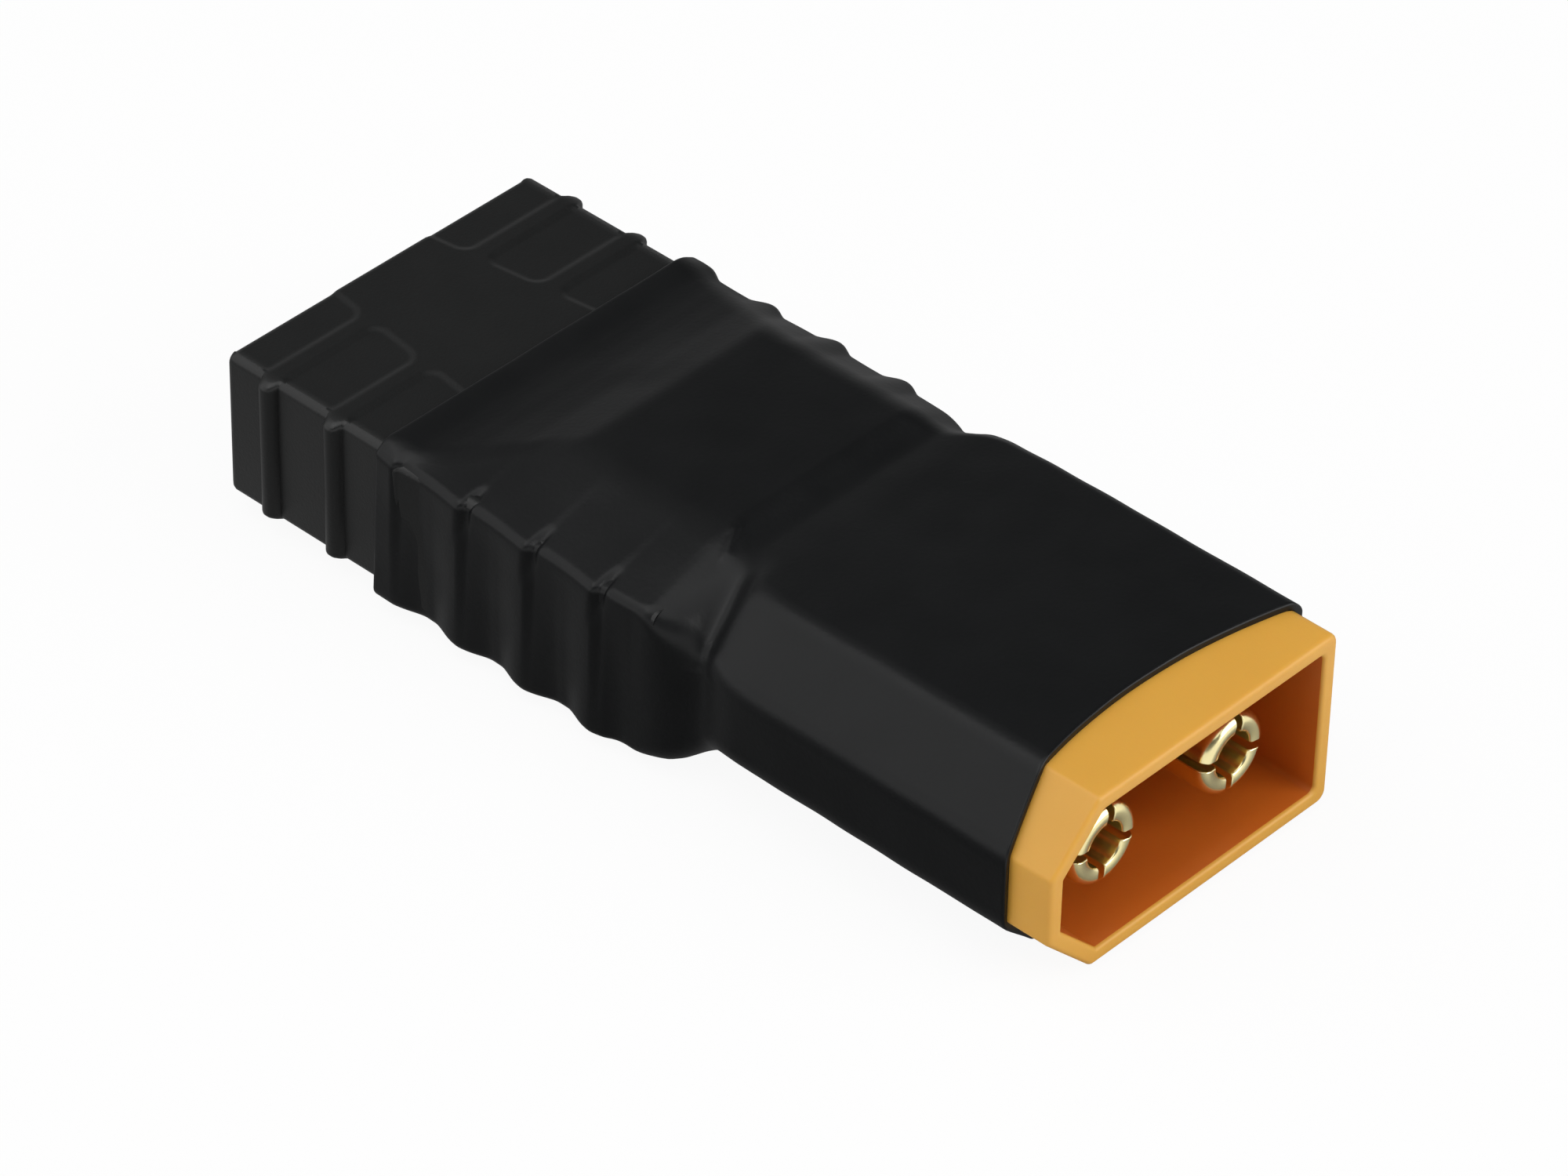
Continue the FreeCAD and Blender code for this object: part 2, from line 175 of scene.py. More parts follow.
def join_rings(points, faces, rings):
    """Adds rings of equal length to the points, and the bands of quads between them."""
    start = len(points)
    count = len(rings[0])
    for ring in rings:
        points.extend(ring)
    for i in range(len(rings) - 1):
        for j in range(count):
            a, b = start + i * count + j, start + i * count + (j + 1) % count
            faces.append((a, b, b + count, a + count))
    return start


def rib_bulge(x):
    """How far a socket rib stands out at x: a bar with rounded shoulders."""
    number = min(max(round((x - RIBS["first"]) / RIBS["pitch"]), 0), RIBS["count"] - 1)
    out = abs(x - RIBS["first"] - RIBS["pitch"] * number) / (RIBS["base"] / 2)
    return RIBS["height"] * (1 - out**2.2) ** 0.6 if out < 1 else 0.0


def pocket_start(x):
    """How far from the middle the pockets begin at x."""
    return POCKETS["inner"] + POCKETS["slope"] * x


def pocket_sink(x, y):
    """How deep the grip pockets are at a point of a broad face, with soft walls and rounded inner corners."""
    place = (x - RIBS["first"]) / RIBS["pitch"]
    to_bar = (0.5 - abs(place - math.floor(place) - 0.5)) * RIBS["pitch"] - POCKETS["bar"] / 2
    to_edge = y - pocket_start(x)
    radius = POCKETS["radius"]
    inside = min(to_bar, to_edge, radius - math.hypot(max(radius - to_bar, 0), max(radius - to_edge, 0)))
    return POCKETS["depth"] * soft_step(inside, 0.0, POCKETS["wall"])


def socket_ring(x):
    """The socket's outline at x with its ribs, pockets and rounded mouth, finest where the pockets begin."""
    ahead = max(0.0, SOCKET["mouth"] - x)
    inset = SOCKET["mouth"] - math.sqrt(SOCKET["mouth"] ** 2 - ahead**2)
    over_block = x >= BLOCK["start"]
    edge = SOCKET["edge"]
    half_width = SOCKET["half_width"] - inset
    half_height = (BLOCK["half_height"] if over_block else SOCKET["half_height"]) - inset
    start = pocket_start(min(x, POCKETS["last"]))
    fine_start, fine_end = start - POCKETS["fine"][0], start + POCKETS["fine"][1]
    reaches = split(0.04, fine_start, 5)[:-1] + split(fine_start, fine_end, 15)
    edge_y, edge_z = half_width - edge, half_height - edge
    reaches += split(POCKETS["plain"], edge_y, 9)[:-1]
    turns = [math.pi / 2 * k / 6 for k in range(7)]
    quarter = [(edge_y + edge * math.cos(t), edge_z + edge * math.sin(t)) for t in turns]
    quarter += [(reach, half_height) for reach in reversed(reaches)]
    ring = []
    for side, level in ((1, 1), (-1, 1), (-1, -1), (1, -1)):
        for y, z in quarter if side == level else reversed(quarter):
            lean = min(max((y - edge_y) / edge, 0.0), 1.0)
            if over_block:
                down = max(0.0, y - BLOCK["half_top"]) / (SOCKET["half_width"] - BLOCK["half_top"])
                z *= 1 - down * (1 - BLOCK["side_height"] / BLOCK["half_height"])
            elif y <= edge_y:
                z -= pocket_sink(x, y)
            ring.append((x, side * (y + rib_bulge(x) * lean), level * z + SOCKET["middle"]))
    return ring


def close_mouth(piece, loops):
    """Fills the flat mouth between its outline and the slots' outlines."""
    work = bmesh.new()
    work.from_mesh(piece.data)
    work.verts.ensure_lookup_table()
    edges = []
    for loop in loops:
        for a, b in zip(loop, loop[1:] + loop[:1]):
            edges.append(work.edges.get((work.verts[a], work.verts[b])))
    bmesh.ops.triangle_fill(work, edges=edges, use_beauty=True, normal=(-1, 0, 0))
    bmesh.ops.recalc_face_normals(work, faces=work.faces[:])
    for face in work.faces:
        face.smooth = True
    work.to_mesh(piece.data)
    work.free()
    piece.data.set_sharp_from_angle(angle=math.radians(50))


# Moulded nylon: satin black with the even grain of a spark-finished mould, about 0.1 mm across, which takes
# the hard edge off its shine, and sharp edges painted a little paler: partly rubbing wear, partly a painted
# highlight.
moulded_nylon, nylon_place = start_material("glass_filled_nylon_moulded_black")
nylon_grain = add_node(
    moulded_nylon, "ShaderNodeTexNoise", {}, {"Vector": nylon_place, "Scale": 9.0, "Detail": 3.0}
)
nylon_cloud = add_node(
    moulded_nylon, "ShaderNodeTexNoise", {}, {"Vector": nylon_place, "Scale": 0.5, "Detail": 5.0}
)
nylon_edges = add_node(moulded_nylon, "ShaderNodeNewGeometry", {}, {})
# Paler colour on sharp edges: partly rubbing wear, partly a painted highlight along those edges.
nylon_wear_and_edge_highlight = add_node(
    moulded_nylon, "ShaderNodeMapRange", {},
    {
        "Value": nylon_edges.outputs["Pointiness"], "From Min": 0.56, "From Max": 0.68, "To Min": 0.0,
        "To Max": 0.6,
    },
)
nylon_colour = add_node(
    moulded_nylon, "ShaderNodeMix", {"data_type": "RGBA"},
    {"Factor": nylon_wear_and_edge_highlight.outputs["Result"], "A": linear("#101111"), "B": linear("#32332e")},
)
nylon_gloss = add_node(
    moulded_nylon, "ShaderNodeMapRange", {},
    {"Value": nylon_cloud.outputs["Fac"], "To Min": 0.3, "To Max": 0.4},
)
nylon_bump = add_node(
    moulded_nylon, "ShaderNodeBump", {},
    {"Height": nylon_grain.outputs["Fac"], "Strength": 0.25, "Distance": 0.00003},
)
nylon_shader = add_node(
    moulded_nylon, "ShaderNodeBsdfPrincipled", {},
    {
        "Base Color": nylon_colour.outputs["Result"], "Roughness": nylon_gloss.outputs["Result"], "IOR": 1.53,
        "Specular IOR Level": 0.4, "Normal": nylon_bump.outputs["Normal"],
    },
)
add_node(moulded_nylon, "ShaderNodeOutputMaterial", {}, {"Surface": nylon_shader.outputs[0]})

socket_points, socket_faces = [], []
socket_places = [0.0, 0.02, 0.06, 0.13] + spread(SOCKET["mouth"], POCKETS["last"] - 0.2, 0.07)
socket_places += [BLOCK["start"] - 0.01, BLOCK["start"], SOCKET["length"]]
socket_rings = [socket_ring(x) for x in socket_places]
mouth_start = join_rings(socket_points, socket_faces, socket_rings)
mouth_loops = [list(range(mouth_start, mouth_start + len(socket_rings[0])))]
socket_faces.append(tuple(range(len(socket_points) - len(socket_rings[0]), len(socket_points))))
for low_y, high_y, low_z, high_z in (FLAT_SLOT, UPRIGHT_SLOT):
    loops = []
    for x, grow in ((0.0, SLOT_LEAD_IN), (SLOT_LEAD_IN, 0.0), (SLOT_DEPTH, 0.0)):
        y0, y1, z0, z1 = low_y - grow, high_y + grow, low_z - grow, high_z + grow
        loops.append([(x, y1, z1), (x, y1, z0), (x, y0, z0), (x, y0, z1)])
    slot_start = join_rings(socket_points, socket_faces, loops)
    mouth_loops.append(list(range(slot_start, slot_start + 4)))
    socket_faces.append(tuple(reversed(range(len(socket_points) - 4, len(socket_points)))))
socket_look = make_piece("socket_housing_moulded", socket_points, socket_faces, moulded_nylon, 50)
close_mouth(socket_look, mouth_loops)
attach(socket_look, "root")
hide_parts("socket_housing")

# Plug pins: brass, turned and drilled, then slit twice into four springy petals and gold plated. Behind the
# shoulder that the housing holds, each has a solder cup.
PIN_RADIUS, BORE_RADIUS, CUP_RADIUS, CUP_BORE = 1.75, 0.95, 2.35, 1.8
SHOULDER_RADIUS, NECK_RADIUS = 2.2, 2.0
CUP_END, PIN_TIP = pin_low.x - MOUTH_X, pin_high.x - MOUTH_X
SHOULDER_START, SHOULDER_END, PIN_FLOOR = CUP_END + 4.2, PIN_TIP - 8.3, PIN_TIP - 7.5
SLIT_START, HALF_SLIT, PETAL_TURN = PIN_TIP - 5.4, 0.175, -9
NOSE_LENGTH, NOSE_DROP, CUP_FLOOR, DRILL_END = 0.45, 0.38, CUP_END + 3.4, SLIT_START - 0.95
# The radius at the drill's point, just off zero so that the faces there stay whole.
PIN_AXIS = 0.001


def revolve(points, faces, profile, y, steps):
    """Adds a closed profile of (x, radius) turned round a pin's axis."""
    rings = [
        [(x, y + r * math.cos(math.tau * k / steps), r * math.sin(math.tau * k / steps)) for x, r in profile]
        for k in range(steps)
    ]
    start = join_rings(points, faces, rings)
    count = len(profile)
    last = start + (steps - 1) * count
    for j in range(count):
        faces.append((last + j, last + (j + 1) % count, start + (j + 1) % count, start + j))


def petal_profile():
    """One petal's section along the pin: outside, rounded nose, tip and bore."""
    root = SLIT_START - 0.2
    shoulder = PIN_TIP - NOSE_LENGTH
    outside = [(x, PIN_RADIUS) for x in spread(root, shoulder, 0.8)]
    turns = [math.pi / 2 * k / 8 for k in range(1, 9)]
    nose = [(shoulder + NOSE_LENGTH * math.sin(t), PIN_RADIUS - NOSE_DROP * (1 - math.cos(t))) for t in turns]
    lip = [(PIN_TIP - back, BORE_RADIUS + wider) for back, wider in ((0.02, 0.12), (0.08, 0.03), (0.2, 0.0))]
    inside = [(x, BORE_RADIUS) for x in reversed(spread(root, PIN_TIP - 0.2, 1.3)[:-1])]
    return outside + nose + lip + inside


def add_petal(points, faces, y, middle_angle):
    """One petal: its section swept from slit to slit, with flat slit walls."""
    profile = petal_profile()
    steps = 14
    rings = []
    for k in range(steps + 1):
        ring = []
        for x, r in profile:
            reach = math.pi / 4 - math.asin(HALF_SLIT / r)
            angle = middle_angle + reach * (2 * k / steps - 1)
            ring.append((x, y + r * math.cos(angle), r * math.sin(angle)))
        rings.append(ring)
    start = join_rings(points, faces, rings)
    faces.append(tuple(reversed(range(start, start + len(profile)))))
    faces.append(tuple(range(len(points) - len(profile), len(points))))


for side in ("positive", "negative"):
    low_corner, high_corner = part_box("plug_pin_" + side)
    pin_y = (low_corner.y + high_corner.y) / 2 / MM
    pin_points, pin_faces = [], []
    revolve(pin_points, pin_faces, [
        (CUP_END, CUP_BORE), (CUP_END, CUP_RADIUS - 0.1), (CUP_END + 0.1, CUP_RADIUS),
        (SHOULDER_START, CUP_RADIUS), (SHOULDER_START, SHOULDER_RADIUS), (SHOULDER_END, SHOULDER_RADIUS),
        (SHOULDER_END, NECK_RADIUS), (PIN_FLOOR, NECK_RADIUS), (PIN_FLOOR, PIN_RADIUS),
        (SLIT_START, PIN_RADIUS), (SLIT_START, BORE_RADIUS), (DRILL_END, PIN_AXIS), (CUP_FLOOR, PIN_AXIS),
        (CUP_FLOOR, CUP_BORE),
    ], pin_y, 64)
    for k in range(4):
        add_petal(pin_points, pin_faces, pin_y, math.radians(PETAL_TURN + 45 + 90 * k))
    pin_look = make_piece("plug_pin_turned_" + side, pin_points, pin_faces, plated_brass, 35)
    edge_break = pin_look.modifiers.new("edge_break", "BEVEL")
    edge_break.width = 0.04 * MM
    edge_break.segments = 2
    edge_break.limit_method = "ANGLE"
    edge_break.angle_limit = math.radians(40)
    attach(pin_look, "root")
    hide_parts("plug_pin_" + side)

# Plug housing: amber nylon, injection moulded, a shroud round the two pins with two corners of one short side
# bevelled for polarity. The pins are pressed in from behind up to their shoulders.
plug_low, plug_high = [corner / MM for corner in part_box("plug_housing")]
PLUG_START, PLUG_MOUTH = plug_low.x - MOUTH_X, plug_high.x - MOUTH_X
PLUG_HALF_WIDTH, PLUG_HALF_HEIGHT = plug_high.y, plug_high.z - PINS_Z
PLUG_BEVEL, PLUG_WALL, PLUG_FLOOR, PLUG_BAND = 2.5, 0.7, PLUG_MOUTH - 8.6, PLUG_MOUTH - 2.4
RIM_ROUNDING, LIP_ROUNDING = 0.22, 0.16
# The radii of the outer edges, tighter from the band at the mouth on, and of the shroud's inner edges.
BODY_RADIUS, MOUTH_RADIUS, BEVEL_RADIUS, SHROUD_RADIUS, SHROUD_BEVEL_RADIUS = 0.9, 0.45, 0.3, 0.3, 0.2


def rounded_outline(corners, steps, splits):
    """A closed outline of (y, z, radius) corners as arcs, with each side split so often."""
    arcs = []
    for i, (y, z, radius) in enumerate(corners):
        here = Vector((y, z))
        before = Vector(corners[i - 1][:2]) - here
        after = Vector(corners[(i + 1) % len(corners)][:2]) - here
        half = before.angle(after) / 2
        radius = min(radius, 0.45 * min(before.length, after.length) * math.tan(half))
        before, after = before.normalized(), after.normalized()
        centre = here + (before + after).normalized() * (radius / math.sin(half))
        reach = radius / math.tan(half)
        a, b = here + before * reach - centre, here + after * reach - centre
        turn = math.atan2(a.x * b.y - a.y * b.x, a.dot(b))
        turned = [Matrix.Rotation(turn * k / steps, 2) @ a for k in range(steps + 1)]
        arcs.append([centre + arm for arm in turned])
    outline = []
    for i, arc in enumerate(arcs):
        end = arcs[(i + 1) % len(arcs)][0]
        outline.extend(arc)
        outline.extend(arc[-1].lerp(end, k / splits[i]) for k in range(1, splits[i]))
    return outline


def plug_ring(x, grow, far_radius, near_radius):
    """The plug's outline at x, moved outwards by grow: the -Y side bevelled twice, the +Y side square."""
    half_width, half_height = PLUG_HALF_WIDTH + grow, PLUG_HALF_HEIGHT + grow
    bevel = PLUG_BEVEL + grow * (2 - math.sqrt(2))
    corners = [
        (half_width, half_height, far_radius), (bevel - half_width, half_height, near_radius),
        (-half_width, half_height - bevel, near_radius), (-half_width, bevel - half_height, near_radius),
        (bevel - half_width, -half_height, near_radius), (half_width, -half_height, far_radius),
    ]
    return [(x, y, z) for y, z in rounded_outline(corners, 6, (12, 4, 4, 4, 12, 8))]


# Moulded amber nylon: a warm half-clear honey colour. The shroud's inside gets a copy of it painted
# deeper and redder, orange brown: painted shade for the dim, reddened light inside the shroud. Both have
# mould grain and clouds where the melt flowed.
amber_skins = []
for name, pale, deep in (
    ("amber_nylon_moulded", "#e1a945", "#d99e39"),
    ("amber_nylon_moulded_painted_shade", "#cb691c", "#be5c15"),
# The second, darker and redder colour pair is painted shade for the shroud's inside.
):
    amber_nylon, amber_place = start_material(name)
    amber_cloud = add_node(
        amber_nylon, "ShaderNodeTexNoise", {}, {"Vector": amber_place, "Scale": 0.22, "Detail": 4.0}
    )
    amber_grain = add_node(
        amber_nylon, "ShaderNodeTexNoise", {}, {"Vector": amber_place, "Scale": 7.0, "Detail": 3.0}
    )
    amber_colour = add_node(
        amber_nylon, "ShaderNodeMix", {"data_type": "RGBA"},
        {"Factor": amber_cloud.outputs["Fac"], "A": linear(pale), "B": linear(deep)},
    )
    amber_gloss = add_node(
        amber_nylon, "ShaderNodeMapRange", {},
        {"Value": amber_cloud.outputs["Fac"], "To Min": 0.36, "To Max": 0.5},
    )
    amber_bump = add_node(
        amber_nylon, "ShaderNodeBump", {},
        {"Height": amber_grain.outputs["Fac"], "Strength": 0.15, "Distance": 0.00003},
    )
    amber_shader = add_node(
        amber_nylon, "ShaderNodeBsdfPrincipled", {},
        {
            "Base Color": amber_colour.outputs["Result"], "Roughness": amber_gloss.outputs["Result"],
            "IOR": 1.53, "Normal": amber_bump.outputs["Normal"], "Subsurface Weight": 0.15,
            "Subsurface Radius": (0.0012, 0.0005, 0.0001), "Subsurface Scale": 0.5,
        },
    )
    add_node(amber_nylon, "ShaderNodeOutputMaterial", {}, {"Surface": amber_shader.outputs[0]})
    amber_skins.append(amber_nylon)

plug_points, plug_faces, plug_rings = [], [], []
for ahead, inset in ((0, 0.45), (0.15, 0.15), (0.45, 0), (4.3, 0)):
    plug_rings.append(plug_ring(PLUG_START + ahead, -inset, BODY_RADIUS, BEVEL_RADIUS))
for x in (PLUG_FLOOR, PLUG_FLOOR + 4, PLUG_BAND):
    plug_rings.append(plug_ring(x, 0, BODY_RADIUS, BEVEL_RADIUS))
for x in (PLUG_BAND + 0.3, PLUG_MOUTH - 1.1):
    plug_rings.append(plug_ring(x, 0, MOUTH_RADIUS, BEVEL_RADIUS))
for k in range(7):
    turn = math.pi / 2 * k / 6
    back, inset = RIM_ROUNDING * (1 - math.sin(turn)), RIM_ROUNDING * (1 - math.cos(turn))
    tighter = 0.3 * inset
    rim_radii = MOUTH_RADIUS - tighter, BEVEL_RADIUS - tighter
    plug_rings.append(plug_ring(PLUG_MOUTH - back, -inset, *rim_radii))
for k in range(5):
    turn = math.pi / 2 * k / 4
    back, inset = LIP_ROUNDING * (1 - math.cos(turn)), PLUG_WALL - LIP_ROUNDING * (1 - math.sin(turn))
    plug_rings.append(plug_ring(PLUG_MOUTH - back, -inset, SHROUD_RADIUS, SHROUD_BEVEL_RADIUS))
first_inside = (len(plug_rings) - 1) * len(plug_rings[0])
for x in (PLUG_MOUTH - 1.1, PLUG_MOUTH - 3.6, PLUG_FLOOR + 2.5, PLUG_FLOOR + 0.15):
    plug_rings.append(plug_ring(x, -PLUG_WALL, SHROUD_RADIUS, SHROUD_BEVEL_RADIUS))
floor_radii = SHROUD_RADIUS - 0.05, SHROUD_BEVEL_RADIUS - 0.05
plug_rings.append(plug_ring(PLUG_FLOOR, -PLUG_WALL - 0.12, *floor_radii))
rear_ring = join_rings(plug_points, plug_faces, plug_rings)
plug_faces.append(tuple(reversed(range(rear_ring, rear_ring + len(plug_rings[0])))))
plug_faces.append(tuple(range(len(plug_points) - len(plug_rings[0]), len(plug_points))))
plug_look = make_piece("plug_housing_moulded", plug_points, plug_faces, amber_skins[0], 35)
# The shroud's inner faces take the darker, redder amber copy: painted shade.
plug_look.data.materials.append(amber_skins[1])
for face in plug_look.data.polygons[first_inside:-2] + plug_look.data.polygons[-1:]:
    face.material_index = 1
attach(plug_look, "root")
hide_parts("plug_housing")

# Solder joints: bright tin solder, melted into each pin's cup round the tab of its contact before the sleeve
# goes on. Set solder is a grey metal with a faint frost where it froze.
soft_solder, solder_place = start_material("tin_solder_set_in_cup")
solder_frost = add_node(soft_solder, "ShaderNodeTexVoronoi", {}, {"Vector": solder_place, "Scale": 2.5})
solder_gloss = add_node(
    soft_solder, "ShaderNodeMapRange", {},
    {"Value": solder_frost.outputs["Distance"], "To Min": 0.22, "To Max": 0.45},
)
solder_bump = add_node(
    soft_solder, "ShaderNodeBump", {},
    {"Height": solder_frost.outputs["Distance"], "Strength": 0.3, "Distance": 0.00003},
)
solder_shader = add_node(
    soft_solder, "ShaderNodeBsdfPrincipled", {},
    {
        "Base Color": linear("#c9cacd"), "Metallic": 1.0, "Roughness": solder_gloss.outputs["Result"],
        "Normal": solder_bump.outputs["Normal"],
    },
)
add_node(soft_solder, "ShaderNodeOutputMaterial", {}, {"Surface": solder_shader.outputs[0]})
for side in ("positive", "negative"):
    dress("solder_joint_" + side, soft_solder)

# Heat-shrink sleeve: one length of black polyolefin tube, slid over both housings and shrunk with hot air.
# It climbs from the ribbed grip to the socket's block, bulges over the ribs, folds behind each of them on
# the near side, sinks into the gap and hugs the bevelled plug.
sleeve_low, sleeve_high = [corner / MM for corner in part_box("heat_shrink_sleeve")]
SLEEVE_WALL, RIM_BOW, BOW_START = 0.3, 1.3, 30.0
# Between its ends the wall is drawn thinner than it is, to keep its inside off what it covers.
DRAWN_WALL = 0.14
SLEEVE_START, RIM_MIDDLE = sleeve_low.x - MOUTH_X, sleeve_high.x - MOUTH_X - RIM_BOW
SIDE_LIMIT, LEVEL_LIMIT = sleeve_high.y - 0.01, sleeve_high.z - PINS_Z - 0.002
PLUG_SIDE, PLUG_TOP, BOTTOM_RADIUS, LAST_RIB_END, RIB_FADE = 8.28, 4.375, 0.9, 22.0, 1.2
# How far the tube's lines are softened over the ribs and past them, how high and how far it swells over a rib
# on each side, the folds behind the ribs, the hollow behind the block with its wrinkle, and the unevenness.
# "sides" and "levels" are the distances from the middle and the heights between which a fold grows deep.
SOFTENING = (0.24, 0.5)
NEAR_SWELL, NEAR_DROP, FAR_SWELL, LOW_SWELL = 0.3, 0.1, (0.36, 0.28), (0.42, 0.45)
FOLDS = {
    "ribs": (3, 4, 5), "behind": 0.1, "lean": 0.11, "level": 2.2, "depth": 0.2, "width": 0.19,
    "sides": (7.3, 8.3), "levels": (1.0, 2.6),
}
HOLLOW = {
    "x": 24.4, "y": 5.5, "lean": 0.1, "depth": 0.3, "width": 0.6, "sides": (3.0, 5.4), "levels": (0.6, 2.4),
}
WRINKLE = {"x": 22.6, "y": 3.5, "length": 0.5, "turn": 1.1, "height": 0.08, "width": 0.32}
UNEVENNESS = {"depth": 0.02, "drift": 0.03, "scale": 0.5}
# Where the tube's eight edges run, given as (place along the sleeve, size): the flat top's level
# and how far it reaches to the far and near side, then the side edges' distances from the middle and their
# levels, the same for the underside, and the edges' radii.
TUBE_LINES = {
    "top": [
        (8.55, 3.66), (9.0, 3.66), (9.8, 3.56), (10.6, 3.58), (11.6, 3.68), (12.8, 3.88), (13.8, 4.12),
        (14.6, 4.33), (14.9, 4.375), (22.4, 4.375), (23.4, 3.98), (24.8, 4.14), (27.0, 4.25), (31.0, 4.34),
        (35.0, PLUG_TOP),
    ],
    "top_far": [
        (8.55, 8.15), (12.0, 7.4), (14.9, 6.45), (22.3, 6.5), (23.3, 6.7), (24.3, 7.0), (26.0, 7.75),
        (28.0, 7.85),
    ],
    "top_near": [
        (8.55, 8.15), (10.0, 7.9), (12.0, 6.3), (13.5, 4.6), (14.9, 3.9), (22.7, 4.05), (23.4, 4.4),
        (25.2, 5.25), (27.0, 5.59),
    ],
    "far_side": [
        (8.55, 8.62), (9.3, 8.66), (10.2, 8.58), (12.0, 8.5), (14.0, 8.46), (22.6, 8.42), (23.1, 8.36),
        (23.5, 8.2), (24.3, 7.8), (24.6, 7.95), (24.9, 8.15), (25.9, 8.27), (27.0, PLUG_SIDE),
    ],
    "far_level": [(8.55, 3.2), (14.9, 3.35), (24.3, 3.3), (24.9, 3.75), (25.9, 3.9), (28.0, 3.93)],
    "near_side": [
        (8.55, 8.56), (22.9, 8.56), (23.4, 8.4), (24.6, 7.62), (25.2, 7.74), (26.2, 8.1), (27.4, 8.25),
        (29.0, PLUG_SIDE),
    ],
    "near_level": [(8.55, 3.2), (14.9, 3.12), (22.9, 3.12), (24.6, 2.0), (25.4, 1.8), (26.5, 1.69)],
    "low_side": [
        (8.55, 8.6), (22.9, 8.62), (23.5, 8.6), (24.0, 8.4), (24.35, 8.0), (24.8, 7.8), (25.5, 7.98),
        (26.6, 8.26), (29.0, PLUG_SIDE),
    ],
    "low_level": [
        (8.55, -3.7), (14.9, -3.92), (22.9, -3.95), (23.6, -3.9), (24.0, -3.75), (24.4, -3.2), (24.8, -2.5),
        (25.4, -2.0), (26.2, -1.75), (27.2, -1.69),
    ],
    "low_near": [(8.55, 8.0), (12.0, 6.3), (14.9, 4.5), (23.0, 4.6), (24.8, 5.3), (27.0, 5.58)],
    "low_far": [(8.55, -3.6), (14.9, -3.85), (22.9, -3.7), (24.3, -3.3), (26.0, -3.9)],
    "bottom": [
        (8.55, -3.88), (10.0, -3.9), (14.9, -4.375), (22.9, -4.375), (24.3, -4.2), (26.0, -4.3),
        (28.0, -4.375),
    ],
    "far_radius": [(23.0, 0.34), (26.0, 0.58)],
    "near_radius": [(22.3, 0.5), (23.4, 1.3)],
    "top_far_radius": [(22.5, 2.5), (25.5, 0.6)],
    "top_near_radius": [(22.0, 6.0), (24.5, 1.6), (26.0, 1.3)],
}


def line_at(name, x):
    """One of the tube's lines at x, softened over half a millimetre, or over a whole one behind the block."""
    line = TUBE_LINES[name]
    reach = SOFTENING[0] + (SOFTENING[1] - SOFTENING[0]) * soft_step(x, LAST_RIB_END, LAST_RIB_END + RIB_FADE)
    shares = (-1.0, -0.67, -0.33, 0.0, 0.33, 0.67, 1.0)
    total = 0.0
    for share in shares:
        place = min(max(x + share * reach, line[0][0]), line[-1][0])
        low, high = next(pair for pair in zip(line, line[1:]) if place <= pair[1][0])
        total += low[1] + (high[1] - low[1]) * (place - low[0]) / (high[0] - low[0])
    return total / len(shares)


def rib_phase(x):
    """How many rib pitches x lies behind the first rib."""
    return (x - RIBS["first"]) / RIBS["pitch"]


def over_ribs(x):
    """1 where the tube lies on the ribs, 0 beyond the last one."""
    return min(max((LAST_RIB_END - x) / RIB_FADE, 0.0), 1.0)


def saw_bulge(x):
    """The near side's upper edge: it swells towards each rib and drops sharply behind it."""
    phase = rib_phase(x) - math.floor(rib_phase(x))
    behind_rib = phase < NEAR_DROP and x > RIBS["first"] + RIBS["pitch"] * 1.5
    drop = 1 - phase / NEAR_DROP if behind_rib else 0.0
    return NEAR_SWELL * max(phase**1.4, drop) * over_ribs(x)


def round_bulge(x, height, reach):
    """A rounded bump over each rib, of a height, reaching a share of the pitch to both sides."""
    apart = abs(rib_phase(x) - round(rib_phase(x))) if x > RIBS["first"] + 2 * RIBS["pitch"] else 0.0
    return height * max(0.0, 1 - (apart / reach) ** 2) ** 2 * over_ribs(x)


def fold_depth(x, y, z):
    """How deep the folds behind the ribs and the hollow behind the block are, less its wrinkle's height."""
    depth = 0.0
    for number in FOLDS["ribs"]:
        rib = RIBS["first"] + RIBS["pitch"] * number
        away = (x - rib - FOLDS["behind"] - FOLDS["lean"] * (z - FOLDS["level"])) / FOLDS["width"]
        grown = soft_step(z, *FOLDS["levels"]) * soft_step(-y, *FOLDS["sides"])
        depth += FOLDS["depth"] * math.exp(-(away**2)) * grown
    if z > 1.0 and y < 0:
        away = (x - HOLLOW["x"] + HOLLOW["lean"] * (y + HOLLOW["y"])) / HOLLOW["width"]
        grown = soft_step(z, *HOLLOW["levels"]) * soft_step(-y, *HOLLOW["sides"])
        depth += HOLLOW["depth"] * math.exp(-(away**2)) * grown
        behind, aside = x - WRINKLE["x"], y + WRINKLE["y"]
        along = min(max(behind / WRINKLE["length"], 0.0), 1.0)
        away = math.hypot(behind - WRINKLE["length"] * along, aside + WRINKLE["turn"] * along)
        depth -= WRINKLE["height"] * math.exp(-((away / WRINKLE["width"]) ** 2))
    return depth


